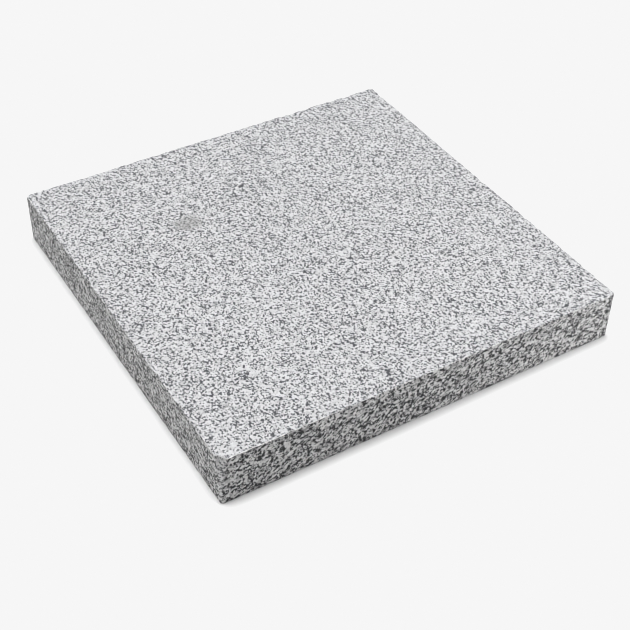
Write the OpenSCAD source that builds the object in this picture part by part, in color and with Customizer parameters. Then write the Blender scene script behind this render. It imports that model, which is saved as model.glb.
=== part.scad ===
// Granite slab: a square bench block of sawn stone, cut from one piece.
// Frame: +Z up, origin at the middle of the underside. Millimetres.

/* [Slab] */
// Length of each side of the square plan
side = 304.8; // [200:0.1:410]
// Thickness from the underside to the working face
thickness = 38.1; // [20:0.1:60]

/* [Edges] */
// Radius of the four upright corners
corner_radius = 2.0; // [1:0.5:12]
// Width of the 45 degree arris around the working face
top_arris = 0.8; // [0.3:0.1:0.9]
// Width of the 45 degree arris around the underside
bottom_arris = 0.8; // [0.3:0.1:0.9]

/* [Hidden] */

// Side of the square whose corners are the axes of the upright corners
corner_spacing = side - 2 * corner_radius;
// Segments around each upright corner, which stays a true cylinder
$fn = 64;

// Half of the slab's upright section, from its middle plane out to `reach`
module half_section(reach) {
    polygon([
        [0, 0],
        [reach - bottom_arris, 0],
        [reach, bottom_arris],
        [reach, thickness - top_arris],
        [reach - top_arris, thickness],
        [0, thickness],
    ]);
}

// The whole section across the slab, both arrises on each side
module full_section() {
    half_section(side / 2);
    mirror([1, 0]) half_section(side / 2);
}

// A bar the full width of the slab, which stops short of the upright corners
module bar_between_corners() {
    rotate([90, 0, 0])
        linear_extrude(height = corner_spacing, center = true)
            full_section();
}

// One upright corner, a quarter turn of the section, for the +X +Y corner
module upright_corner() {
    translate([corner_spacing / 2, corner_spacing / 2, 0])
        rotate_extrude(angle = 90)
            half_section(corner_radius);
}

// The slab itself: two crossing bars make the flat faces and four quarter turns close the corners
module slab() {
    color("silver")
        union() {
            for (turn = [0, 90])
                rotate([0, 0, turn]) bar_between_corners();
            for (turn = [0 : 90 : 270])
                rotate([0, 0, turn]) upright_corner();
        }
}

slab();
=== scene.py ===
"""Looks of the granite slab: its chipped block of stone, the floor, the light and the camera.

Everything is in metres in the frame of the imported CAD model: +Z up, with the origin in the middle
of the underside.
"""

import math

import bpy
import numpy as np
from mathutils import Matrix, Vector, noise
from mathutils.geometry import delaunay_2d_cdt


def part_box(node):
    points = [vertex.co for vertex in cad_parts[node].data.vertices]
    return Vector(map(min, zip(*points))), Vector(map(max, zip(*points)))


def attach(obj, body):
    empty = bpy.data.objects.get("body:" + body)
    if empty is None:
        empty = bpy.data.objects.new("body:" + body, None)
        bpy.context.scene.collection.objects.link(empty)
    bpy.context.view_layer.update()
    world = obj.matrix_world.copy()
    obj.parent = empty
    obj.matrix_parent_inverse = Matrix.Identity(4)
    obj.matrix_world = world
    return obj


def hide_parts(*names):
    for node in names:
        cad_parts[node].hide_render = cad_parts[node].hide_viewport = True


MM = 0.001
SEED = 718

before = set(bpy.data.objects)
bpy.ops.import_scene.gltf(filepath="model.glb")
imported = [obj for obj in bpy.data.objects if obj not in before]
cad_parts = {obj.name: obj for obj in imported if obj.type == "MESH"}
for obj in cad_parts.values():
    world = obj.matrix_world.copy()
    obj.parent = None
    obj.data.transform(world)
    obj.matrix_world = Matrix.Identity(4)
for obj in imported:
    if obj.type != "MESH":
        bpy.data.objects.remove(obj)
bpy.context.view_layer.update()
low_corner, high_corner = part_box("slab")

# ---------------------------------------------------------------- sizes, in millimetres

SIDE = (high_corner.x - low_corner.x) / MM
THICKNESS = (high_corner.z - low_corner.z) / MM
HALF = SIDE / 2

# Upright corners, as in the CAD model
CORNER_RADIUS = 2.0
# Where the corner's break leaves its three edges, as steps from the corner of the working face
BREAK_REACH = ((6.0, 0.0, 0.0), (0.0, 8.0, 0.0), (0.8, 0.0, -32.0))
# The front's arris is crushed, rounder and whiter, around this place, and less so further away; its
# white is partly crushed stone and partly a painted highlight
CRUSHED_X = -127.0
CRUSHED_REACH = 20.0
# The rim is a fine mesh this far in from the sides, on the working face and on the underside
RIM_WIDTH = 10.0
# Spacing of the rim's points along the sides, and the number of points round each upright corner
STATION_SPACING = 0.9
CORNER_STATIONS = 6
# The flat middle's triangles grow from the rim's spacing to this, by this factor each ring
LARGEST_TRIANGLE = 9.0
TRIANGLE_GROWTH = 1.35
# Depths of the rim's rows below an arris, close together where it is worn and chipped
ROW_DEPTHS = (0.0, 0.25, 0.5, 0.8, 1.2, 1.7, 2.4, 3.3, 4.5, 6.0, 8.0)
# Spacing of the rows in between, down the middle of the side
ROW_SPACING = 2.5
# Two faces that meet at more than this many degrees have a sharp edge between them
SHARP_ANGLE = 38

# ---------------------------------------------------------------- wear, in millimetres

# The sides are cut back by this much on average, in waves of this length
WAVE_DEPTH = 0.10
WAVE_LENGTH = 37.0
# A broken face is rough, finely and coarsely, each with its (height, length, place in the noise)
FINE_ROUGH = (0.22, 1.6, 5.0)
COARSE_ROUGH = (0.3, 4.2, 9.0)
# Length of the waves by which the arrises are more crushed and less
CRUSHED_LENGTH = 60
# Radius of the working face's arris, what being crushed adds to it, and its (height, length) waves
TOP_RADIUS = 0.40
CRUSHED_RADIUS = 0.45
TOP_WAVES = ((0.20, 7), (0.10, 1.9))
# The same for the underside's arris, where being crushed paints the stone white, partly as a
# highlight, but adds no radius
UNDER_RADIUS = 0.15
UNDER_WAVES = ((0.12, 3),)
# Chips: how far apart, then about the least and the most of their half length and of their depth
TOP_CHIPS = (11.0, (1.0, 4.5), (0.3, 1.4))
UNDER_CHIPS = (25.0, (1.5, 5.0), (0.2, 1.0))
# A point that has moved by this much looks fully worn, or fully broken
WORN_DEPTH = 0.1
BROKEN_DEPTH = 0.4

# ---------------------------------------------------------------- camera

CAMERA_AZIMUTH = -32.0
CAMERA_ELEVATION = 41.4
CAMERA_ROLL = 1.3
CAMERA_DISTANCE = 901.0 * MM
CAMERA_LENS = 72.6
CAMERA_TARGET = Vector((-13.5, -32.0, 0.0)) * MM


def add_camera():
    """The camera looks down at the slab's front left corner, and is rolled a little."""
    azimuth = math.radians(CAMERA_AZIMUTH)
    elevation = math.radians(CAMERA_ELEVATION)
    level = math.cos(elevation)
    back = Vector((math.sin(azimuth) * level, -math.cos(azimuth) * level, math.sin(elevation)))
    data = bpy.data.cameras.new("camera")
    data.lens = CAMERA_LENS
    data.sensor_width = 36.0
    data.clip_end = 100.0
    camera = bpy.data.objects.new("camera", data)
    camera.location = CAMERA_TARGET + back * CAMERA_DISTANCE
    camera.rotation_mode = "QUATERNION"
    roll = Matrix.Rotation(math.radians(CAMERA_ROLL), 4, "Z").to_quaternion()
    camera.rotation_quaternion = (-back).to_track_quat("-Z", "Y") @ roll
    bpy.context.scene.collection.objects.link(camera)
    bpy.context.scene.camera = camera


# ---------------------------------------------------------------- node helper


def add_node(tree, kind, inputs=None, **settings):
    """Adds a node. Each input is a value, or an output socket to link."""
    node = tree.nodes.new(kind)
    for name, value in settings.items():
        setattr(node, name, value)
    for key, value in (inputs or {}).items():
        socket = node.inputs[key]
        if isinstance(value, bpy.types.NodeSocket):
            tree.links.new(value, socket)
        else:
            socket.default_value = value
    return node


# ---------------------------------------------------------------- the block's shape


def ring_noise(distance, perimeter, wavelength, rng):
    """Smooth noise from -1 to 1 along the rim, which meets itself where the rim closes."""
    knots = round(perimeter / wavelength)
    heights = rng.uniform(-1, 1, knots)
    place = distance / perimeter * knots
    before = np.floor(place).astype(int)
    share = place - before
    share = share * share * (3 - 2 * share)
    return heights[before % knots] * (1 - share) + heights[(before + 1) % knots] * share


def space_noise(points, wavelength, offset):
    """Smooth noise at each point, about -1 to 1."""
    shift = Vector((offset, offset * 0.7, offset * 0.3))
    return np.array([noise.noise(Vector(p) / wavelength + shift) for p in points])


def plan_stations():
    """The rim's points, as (side or corner axis, direction) pairs that any inset can use.

    A point at inset a is axis * (HALF - a - CORNER_RADIUS) + direction * CORNER_RADIUS.
    """
    straight = round((SIDE - 2 * CORNER_RADIUS) / STATION_SPACING)
    axes, directions = [], []
    for quarter in range(4):
        start = math.radians(90 * quarter)
        out = np.array([math.cos(start), math.sin(start)])
        along = np.array([-out[1], out[0]])
        for i in range(straight):
            share = -1 + 2 * i / straight
            axes.append(out + along * share)
            directions.append(out)
        for i in range(CORNER_STATIONS):
            turn = start + math.radians(90) * i / CORNER_STATIONS
            axes.append(out + along)
            directions.append(np.array([math.cos(turn), math.sin(turn)]))
    return np.array(axes), np.array(directions)


def profile_rows():
    """Insets and drops of the rim's rows, from the working face over the side to the underside."""
    steps = np.array(ROW_DEPTHS)
    inward = np.append(steps[1:], RIM_WIDTH)
    middle = np.arange(RIM_WIDTH, THICKNESS - RIM_WIDTH + 0.1, ROW_SPACING)
    side = np.concatenate([steps, middle, THICKNESS - steps[::-1]])
    inset = np.concatenate([inward[::-1], np.zeros(len(side)), inward])
    drop = np.concatenate([np.zeros(len(inward)), side, np.full(len(inward), THICKNESS)])
    return inset, drop


def cut(inset, drop, depth, tilt):
    """Pushes the points of an arris in behind a plane, tilted from the working face's edge.

    inset is measured in from the side and drop down from the face. A tilt of 90 degrees cuts
    along the side only, and 0 along the face only. Returns how far each point moved.
    """
    across, down = math.cos(tilt), math.sin(tilt)
    push = np.maximum(0, depth - inset * across - drop * down)
    inset += push * across
    drop += push * down
    return push


def wavy_radius(radius, waves, distance, perimeter, rng):
    """An arris's radius along the rim, with waves of the given (height, length) added."""
    for height, length in waves:
        radius = radius + height * ring_noise(distance, perimeter, length, rng)
    return radius


def wear_arris(inset, drop, radius):
    """Rounds an arris to a radius, which may change along it."""
    moved = np.zeros_like(inset)
    for degrees in (22.5, 45, 67.5):
        tilt = math.radians(degrees)
        moved += cut(inset, drop, radius * (math.cos(tilt) + math.sin(tilt) - 1), tilt)
    return moved


def chip_arris(inset, drop, distance, perimeter, rough, bites):
    """Breaks chips out of an arris. Each bite is (place, half length, depth, tilt)."""
    moved = np.zeros_like(inset)
    for place, reach, depth, tilt in bites:
        away = np.abs((distance - place + perimeter / 2) % perimeter - perimeter / 2)
        near = np.flatnonzero(away < reach)
        scallop = depth * (1 - (away[near] / reach) ** 2) ** 0.7
        level = scallop[:, None] + rough[near] * np.minimum(1, scallop / 0.5)[:, None]
        bitten_inset, bitten_drop = inset[near], drop[near]
        moved[near] += cut(bitten_inset, bitten_drop, level, tilt)
        inset[near], drop[near] = bitten_inset, bitten_drop
    return moved


def break_corner(rim, rough):
    """Breaks a long wedge off the front left corner, down from the working face."""
    corner = np.array([-HALF, -HALF, THICKNESS])
    right, back, bottom = (corner + np.array(step) for step in BREAK_REACH)
    normal = np.cross(bottom - right, back - right)
    normal /= np.linalg.norm(normal)
    normal *= np.sign(normal @ (corner - right))
    beyond = np.maximum(0, (rim - right) @ normal + rough)
    near = np.linalg.norm(rim[..., :2] - corner[:2], axis=2) < RIM_WIDTH
    beyond *= near
    rim -= beyond[..., None] * normal
    return beyond


def random_bites(rng, perimeter, spacing, reach, depth):
    """Chips scattered along an arris, most of them small."""
    bites = []
    for place in np.arange(0, perimeter, spacing):
        size = rng.uniform() ** 2
        bites.append((
            place + rng.uniform(-0.5, 0.5) * spacing,
            reach[0] + (reach[1] - reach[0]) * size * rng.uniform(0.7, 1.3),
            depth[0] + (depth[1] - depth[0]) * size * rng.uniform(0.6, 1.2),
            math.radians(rng.uniform(15, 50)),
        ))
    return bites


def fill_middle(ring):
    """Triangles inside a ring of plan points: (extra points, faces by index, the ring first)."""
    extra = []
    inset = RIM_WIDTH
    spacing = STATION_SPACING
    while True:
        inset += spacing * 0.9
        spacing = min(LARGEST_TRIANGLE, spacing * TRIANGLE_GROWTH)
        half = HALF - inset
        if half < spacing / 2:
            break
        count = max(1, round(2 * half / spacing))
        for quarter in range(4):
            turn = Matrix.Rotation(math.radians(90 * quarter), 2)
            for i in range(count):
                extra.append(turn @ Vector((half, -half + 2 * half * i / count)))
    points = [Vector(p) for p in ring] + extra
    outline = list(range(len(ring)))
    _, _, faces, sources, _, _ = delaunay_2d_cdt(points, [], [outline], 1, 1e-6)
    triangles = [[sources[v][0] for v in face] for face in faces]
    return extra, triangles


def worn_rim():
    """The block's outer points by station and row, with how worn and how broken each one is."""
    rng = np.random.default_rng(SEED)
    axes, directions = plan_stations()
    inset_row, drop_row = profile_rows()
    stations, rows = len(axes), len(inset_row)
    inset = np.tile(inset_row, (stations, 1))
    drop = np.tile(drop_row, (stations, 1))

    def place():
        reach = (HALF - CORNER_RADIUS - inset)[..., None]
        plan = axes[:, None] * reach + directions[:, None] * CORNER_RADIUS
        return np.concatenate([plan, (THICKNESS - drop)[..., None]], axis=2)

    outline = place()[:, rows // 2, :2]
    steps = np.linalg.norm(np.roll(outline, -1, axis=0) - outline, axis=1)
    perimeter = steps.sum()
    distance = np.cumsum(steps) - steps

    points = place().reshape(-1, 3)
    rough = sum(height * space_noise(points, length, offset)
                for height, length, offset in (FINE_ROUGH, COARSE_ROUGH))
    rough = rough.reshape(stations, rows)

    # The sides are only ever cut back, so that they never stand outside the CAD model's
    uneven = WAVE_DEPTH * (1 + space_noise(points, WAVE_LENGTH, 2.0)).reshape(stations, rows)
    on_side = (inset_row == 0)[None, :]
    inset += uneven * on_side

    # Only some stretches of the arrises are crushed, above all the one at the front's left end
    crushed = ring_noise(distance, perimeter, CRUSHED_LENGTH, rng)
    from_worst = np.linalg.norm(outline - (CRUSHED_X, -HALF), axis=1)
    crushed = np.clip(np.maximum(crushed, 2 - from_worst / CRUSHED_REACH), 0, 1)

    # The working face's arris, which is less worn than the CAD model's in most places
    top = slice(0, rows // 2)
    worn = np.zeros_like(inset)
    broken = np.zeros_like(inset)
    radius = TOP_RADIUS + CRUSHED_RADIUS * crushed
    radius = wavy_radius(radius, TOP_WAVES, distance, perimeter, rng)
    worn[:, top] = wear_arris(inset[:, top], drop[:, top], radius[:, None])
    bites = random_bites(rng, perimeter, *TOP_CHIPS)
    broken[:, top] = chip_arris(
        inset[:, top], drop[:, top], distance, perimeter, rough[:, top], bites)

    # The underside's arris is the same thing upside down, with its depths measured upwards
    under = slice(rows - 1, rows // 2, -1)
    rise = THICKNESS - drop
    radius = wavy_radius(UNDER_RADIUS, UNDER_WAVES, distance, perimeter, rng)
    worn[:, under] = wear_arris(inset[:, under], rise[:, under], radius[:, None])
    bites = random_bites(rng, perimeter, *UNDER_CHIPS)
    broken[:, under] = chip_arris(
        inset[:, under], rise[:, under], distance, perimeter, rough[:, under], bites)
    drop[:, under] = THICKNESS - rise[:, under]

    rim = place()
    broken += break_corner(rim, rough)
    # The worn values mark where the arris is painted white, partly as a highlight
    values = {
        "worn": list((np.clip(worn / WORN_DEPTH, 0, 1) * crushed[:, None]).reshape(-1)),
        "broken": list(np.clip(broken / BROKEN_DEPTH, 0, 1).reshape(-1)),
    }
    return rim, values


def build_block():
    """The whole block as one closed mesh: its rim, and the flat middles of the top and bottom."""
    rim, values = worn_rim()
    stations, rows = rim.shape[:2]
    faces = []
    for i in range(stations):
        here, there = i * rows, (i + 1) % stations * rows
        for j in range(rows - 1):
            faces.append((here + j, here + j + 1, there + j + 1, there + j))
    vertices = [tuple(p) for p in rim.reshape(-1, 3) * MM]

    for row, height, flip in ((0, THICKNESS, False), (rows - 1, 0.0, True)):
        extra, triangles = fill_middle(rim[:, row, :2])
        index = [i * rows + row for i in range(stations)]
        index += range(len(vertices), len(vertices) + len(extra))
        vertices += [(p.x * MM, p.y * MM, height * MM) for p in extra]
        for triangle in triangles:
            corners = [index[v] for v in triangle]
            faces.append(corners[::-1] if flip else corners)

    mesh = bpy.data.meshes.new("granite_block")
    mesh.from_pydata(vertices, [], faces)
    mesh.validate()
    for name, value in values.items():
        value += [0.0] * (len(vertices) - len(value))
        mesh.attributes.new(name, "FLOAT", "POINT").data.foreach_set("value", value)
    mesh.shade_smooth()
    mesh.set_sharp_from_angle(angle=math.radians(SHARP_ANGLE))
    block = bpy.data.objects.new("granite_block", mesh)
    bpy.context.scene.collection.objects.link(block)
    return block


# ---------------------------------------------------------------- the stone

# Sizes on the honed face, in millimetres: the pale crystals, the breaks in the strings of mica,
# and its single flakes
CRYSTAL = 2.1
BREAK = 1.6
FLAKE = 1.2
# The saw bruises the sides, where the grain looks this much coarser and mica crowds together
COARSER = 1.1
CROWD = 4.5
# The crystals are this much thinner across the layers of the rock, which rise to the right by this
# angle
FLATTENED = 1.2
LAYER_SLOPE = 28.0
# A knot of finer, greyer stone in the working face: its middle and its half sizes, in millimetres
KNOT_PLACE = (-63.5, 63.0, THICKNESS)
KNOT_REACH = (13.0, 10.0, 8.0)
# The ripple that bends the crystals' borders, and the grit of the bump, each by size and height
RIPPLE_SIZE = 1.6
RIPPLE_HEIGHT = 1.2
GRIT_SIZE = 0.9
GRIT_HEIGHT = 0.28
# How much mica's strings are drawn to the crystals' borders, and crowd together on the sawn faces
BORDER_PULL = 0.35
CROWDING = 0.40
# Greys of the pale crystals, as (share of the crystals, grey), and the honed ones' tint. The sawn
# greys are darker than the honed ones as painted shade on the sides
HONED_TONES = ((0.0, 0.475), (0.15, 0.53), (0.45, 0.58), (1.0, 0.63))
HONED_TINT = (0.992, 0.996, 1.014)
SAWN_SHADED_TONES = ((0.0, 0.23), (0.25, 0.365), (0.5, 0.51), (1.0, 0.61))
SAWN_TINT = (1.0, 1.0, 1.0)
# How much mica there is, as (value of the pattern, share of mica), in strings and in flakes
HONED_STRINGS = ((0.495, 0.0), (0.60, 1.0))
HONED_FLAKES = ((0.70, 0.0), (0.78, 0.45), (0.88, 1.0))
SAWN_STRINGS = ((0.47, 0.0), (0.545, 1.0))
SAWN_FLAKES = ((0.84, 0.0), (0.88, 1.0))
# Colours. The sawn mica is darker than the honed mica as painted shade on the sides, and the crushed
# stone's white is partly a painted highlight along the worn arris
HONED_MICA = (0.070, 0.072, 0.080, 1.0)
SAWN_SHADED_MICA = (0.035, 0.035, 0.037, 1.0)
BROKEN_STONE = (0.42, 0.42, 0.43, 1.0)
CRUSHED_STONE_AND_HIGHLIGHT = (0.85, 0.85, 0.86, 1.0)
# A face is honed where its normal's upward part is past the second of these, and sawn below the
# first, where it also takes the darker colours that are painted shade
SAWN_UP_TO = 0.80
HONED_FROM = 0.95


def granite():
    """Salt and pepper granite: honed on the working face, sawn on the sides and underneath, whose
    darker colours are painted shade.
    """
    material = bpy.data.materials.new("granite")
    material.use_nodes = True
    tree = material.node_tree
    tree.nodes.clear()

    def maths(operation, a, b):
        return add_node(tree, "ShaderNodeMath", {0: a, 1: b}, operation=operation).outputs[0]

    def vector(operation, inputs):
        return add_node(tree, "ShaderNodeVectorMath", inputs, operation=operation).outputs[0]

    def mix(share, a, b):
        colours = {0: share, 6: a, 7: b}
        return add_node(tree, "ShaderNodeMix", colours, data_type="RGBA").outputs[2]

    def ramp(value, stops, tint=(1.0, 1.0, 1.0)):
        node = add_node(tree, "ShaderNodeValToRGB", {0: value})
        elements = node.color_ramp.elements
        while len(elements) < len(stops):
            elements.new(0.5)
        for element, (position, grey) in zip(elements, stops):
            element.position = position
            element.color = (*(grey * channel for channel in tint), 1.0)
        return node.outputs["Color"]

    def texture(kind, coordinates, size, **settings):
        inputs = {"Vector": coordinates, "Scale": 1 / size}
        return add_node(tree, kind, inputs, **settings).outputs

    def by_finish(sawn_value, honed_value):
        return ramp(facing, ((SAWN_UP_TO, sawn_value), (HONED_FROM, honed_value)))

    def random_value(cells, channel):
        return add_node(tree, "ShaderNodeSeparateColor", {0: cells["Color"]}).outputs[channel]

    # Millimetres along and across the layers of the rock, bent a little so that no border
    # between crystals is straight
    place = add_node(tree, "ShaderNodeTexCoord").outputs["Object"]
    layers = {"Vector": place, "Rotation": (0.0, -math.radians(LAYER_SLOPE), 0.0),
              "Scale": (MM, MM, MM / FLATTENED)}
    grid = add_node(tree, "ShaderNodeMapping", layers, vector_type="TEXTURE").outputs[0]
    ripple = texture("ShaderNodeTexNoise", grid, RIPPLE_SIZE)["Color"]
    ripple = vector("SUBTRACT", {0: ripple, 1: (0.5, 0.5, 0.5)})
    bent = vector("ADD", {0: grid, 1: vector("SCALE", {0: ripple, "Scale": RIPPLE_HEIGHT})})

    def crystals(coarser, tones, tint):
        """Pale feldspar and grey quartz: a crystal takes one tone from end to end."""
        cells = texture("ShaderNodeTexVoronoi", bent, CRYSTAL * coarser)
        return ramp(random_value(cells, 0), tones, tint)

    def mica(coarser, crowding, string_stops, flake_stops):
        """Crooked strings along the crystals' borders, broken up, and single flakes."""
        border = texture("ShaderNodeTexVoronoi", bent, CRYSTAL * coarser,
                         feature="DISTANCE_TO_EDGE")["Distance"]
        broken = texture("ShaderNodeTexNoise", grid, BREAK * coarser)["Fac"]
        strings = maths("SUBTRACT", broken, maths("MULTIPLY", border, BORDER_PULL))
        if crowding:
            crowd = maths("SUBTRACT", texture("ShaderNodeTexNoise", grid, CROWD)["Fac"], 0.5)
            strings = maths("ADD", strings, maths("MULTIPLY", crowd, crowding))
        flake = random_value(texture("ShaderNodeTexVoronoi", bent, FLAKE * coarser), 1)
        return maths("MAXIMUM", ramp(strings, string_stops), ramp(flake, flake_stops))

    honed_tones = crystals(1.0, HONED_TONES, HONED_TINT)
    honed_mica = mica(1.0, 0.0, HONED_STRINGS, HONED_FLAKES)
    honed = mix(honed_mica, honed_tones, HONED_MICA)
    # The sawn copy of the stone is darker, as painted shade on the sides
    sawn_shaded_tones = crystals(COARSER, SAWN_SHADED_TONES, SAWN_TINT)
    sawn_mica = mica(COARSER, CROWDING, SAWN_STRINGS, SAWN_FLAKES)
    sawn = mix(sawn_mica, sawn_shaded_tones, SAWN_SHADED_MICA)

    normal = add_node(tree, "ShaderNodeNewGeometry").outputs["Normal"]
    facing = add_node(tree, "ShaderNodeSeparateXYZ", {0: normal}).outputs[2]
    # Faces that point up take the honed colours and the rest the sawn ones, whose darkness is painted
    # shade
    stone = mix(by_finish(0.0, 1.0), sawn, honed)

    # The knot is mottled, and fades out over its outer half
    knot = {"Vector": place, "Location": [c * MM for c in KNOT_PLACE],
            "Scale": [c * MM for c in KNOT_REACH]}
    from_knot = add_node(tree, "ShaderNodeMapping", knot, vector_type="TEXTURE").outputs[0]
    away = add_node(tree, "ShaderNodeVectorMath", {0: from_knot}, operation="LENGTH").outputs["Value"]
    ragged = maths("SUBTRACT", texture("ShaderNodeTexNoise", grid, 4.0)["Fac"], 0.5)
    away = maths("ADD", away, maths("MULTIPLY", ragged, 1.2))
    mottled = ramp(texture("ShaderNodeTexNoise", grid, BREAK)["Fac"], ((0.40, 0.44), (0.64, 0.12)))
    stone = mix(ramp(away, ((0.55, 0.85), (1.05, 0.0))), stone, mottled)

    # A broken face is dull grey, and a crushed arris is white: partly crushed stone, partly a painted
    # highlight
    worn = add_node(tree, "ShaderNodeAttribute", attribute_name="worn").outputs["Fac"]
    broken = add_node(tree, "ShaderNodeAttribute", attribute_name="broken").outputs["Fac"]
    stone = mix(maths("MULTIPLY", broken, 0.25), stone, BROKEN_STONE)
    stone = mix(maths("MULTIPLY", worn, 0.8), stone, CRUSHED_STONE_AND_HIGHLIGHT)

    # The sawn faces are rough, with pits where the mica is, and the honed one is nearly smooth
    grit = texture("ShaderNodeTexNoise", grid, GRIT_SIZE)["Fac"]
    relief = maths("SUBTRACT", grit, maths("MULTIPLY", sawn_mica, 0.5))
    height = {"Height": relief, "Distance": GRIT_HEIGHT * MM, "Strength": by_finish(1.0, 0.08)}
    bump = add_node(tree, "ShaderNodeBump", height).outputs[0]
    roughness = by_finish(0.75, 0.50)
    shader = add_node(tree, "ShaderNodeBsdfPrincipled",
                      {"Base Color": stone, "Normal": bump, "Roughness": roughness,
                       "Specular IOR Level": 0.2})
    add_node(tree, "ShaderNodeOutputMaterial", {"Surface": shader.outputs[0]})
    return material


# ---------------------------------------------------------------- floor and light

# Half the floor's side, in metres
FLOOR_HALF = 8.0
# How far the floor reaches in under the slab and lies below it, in millimetres
FLOOR_LAP = 1.5
FLOOR_GAP = 0.1
FLOOR_ALBEDO = 0.80
# The picture's white, and the lit floor's level, which is past full white and so is clipped
WHITE = 0.922
FLOOR_LEVEL = 1.10
# The share of the floor's light that comes from the surround and not from overhead
FILL_SHARE = 0.13
# Each distant light's direction, and its width in degrees
OVERHEAD = ((0.015, 0.093, 1.0), 21)
LEFT = ((-1.0, 0.15, 0.33), 25)
BENEATH = ((0.3, -0.4, -1.0), 25)
LEFT_LEVEL = 0.29
BENEATH_LEVEL = 0.5
# The panel at the right, in metres and watts
PANEL_PLACE = (0.42, -0.40, 0.05)
PANEL_SIZE = 0.20
PANEL_POWER = 1.7


def add_floor():
    """A pale floor, clear from below and open under the slab, so that it hides no side of it."""
    material = bpy.data.materials.new("floor")
    material.use_nodes = True
    tree = material.node_tree
    shader = tree.nodes["Principled BSDF"]
    shader.inputs["Base Color"].default_value = (FLOOR_ALBEDO, FLOOR_ALBEDO, FLOOR_ALBEDO, 1)
    shader.inputs["Roughness"].default_value = 1.0
    shader.inputs["Specular IOR Level"].default_value = 0.0
    below = add_node(tree, "ShaderNodeNewGeometry").outputs["Backfacing"]
    clear = add_node(tree, "ShaderNodeBsdfTransparent")
    sides = {0: below, 1: shader.outputs[0], 2: clear.outputs[0]}
    surface = add_node(tree, "ShaderNodeMixShader", sides)
    tree.links.new(surface.outputs[0], tree.nodes["Material Output"].inputs["Surface"])
    mesh = bpy.data.meshes.new("floor")
    corners = [(-1, -1), (1, -1), (1, 1), (-1, 1)]
    vertices = [(x * half, y * half, -FLOOR_GAP * MM)
                for half in (FLOOR_HALF, (HALF - FLOOR_LAP) * MM) for x, y in corners]
    faces = [(i, (i + 1) % 4, (i + 1) % 4 + 4, i + 4) for i in range(4)]
    mesh.from_pydata(vertices, [], faces)
    mesh.materials.append(material)
    floor = bpy.data.objects.new("floor", mesh)
    bpy.context.scene.collection.objects.link(floor)


def point_at(light, towards):
    """Turns a light so that it shines from the direction that is given.

    It stands for a wide soft light, so it leaves no glare on the honed face.
    """
    light.visible_glossy = False
    light.rotation_mode = "QUATERNION"
    light.rotation_quaternion = Vector(towards).to_track_quat("Z", "Y")
    bpy.context.scene.collection.objects.link(light)


def add_sun(name, level, direction, width):
    """A distant light from this direction, as wide as this in degrees."""
    sun = bpy.data.lights.new(name, "SUN")
    sun.energy = level * math.pi
    sun.angle = math.radians(width)
    point_at(bpy.data.objects.new(name, sun), direction)


def add_lights():
    """Soft lights overhead, low at the left, beneath and at the right, and a pale surround."""
    level = FLOOR_LEVEL / FLOOR_ALBEDO
    add_sun("overhead", level * (1 - FILL_SHARE), *OVERHEAD)
    add_sun("left", LEFT_LEVEL, *LEFT)
    add_sun("beneath", BENEATH_LEVEL, *BENEATH)

    # The panel stands close, so that the front side brightens towards its right end
    side = bpy.data.lights.new("side_panel", "AREA")
    side.shape = "DISK"
    side.size = PANEL_SIZE
    side.energy = PANEL_POWER
    panel = bpy.data.objects.new("side_panel", side)
    panel.location = PANEL_PLACE
    point_at(panel, panel.location - Vector((HALF, -HALF, THICKNESS / 2)) * MM)

    world = bpy.data.worlds.new("surround")
    world.use_nodes = True
    tree = world.node_tree
    tree.nodes.clear()
    dim = add_node(tree, "ShaderNodeBackground",
                   {"Color": (1, 1, 1, 1), "Strength": level * FILL_SHARE})
    seen = add_node(tree, "ShaderNodeBackground", {"Color": (1, 1, 1, 1), "Strength": FLOOR_LEVEL})
    path = add_node(tree, "ShaderNodeLightPath")
    shown = add_node(tree, "ShaderNodeMath",
                     {0: path.outputs["Is Camera Ray"], 1: path.outputs["Is Glossy Ray"]},
                     operation="MAXIMUM")
    both = add_node(tree, "ShaderNodeMixShader",
                    {0: shown.outputs[0], 1: dim.outputs[0], 2: seen.outputs[0]})
    add_node(tree, "ShaderNodeOutputWorld", {"Surface": both.outputs[0]})
    bpy.context.scene.world = world


def set_picture():
    """Plain colours, with a white that is a little short of full and clips what is brighter."""
    view = bpy.context.scene.view_settings
    view.view_transform = "Standard"
    view.use_curve_mapping = True
    curves = view.curve_mapping
    curves.extend = "HORIZONTAL"
    curves.curves[3].points[1].location = (1.0, WHITE)
    curves.update()
    bpy.context.scene.cycles.filter_width = 1.0


# ---------------------------------------------------------------- scene

add_camera()
add_floor()
add_lights()

block = build_block()
block.data.materials.append(granite())
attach(block, "root")
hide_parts("slab")

set_picture()
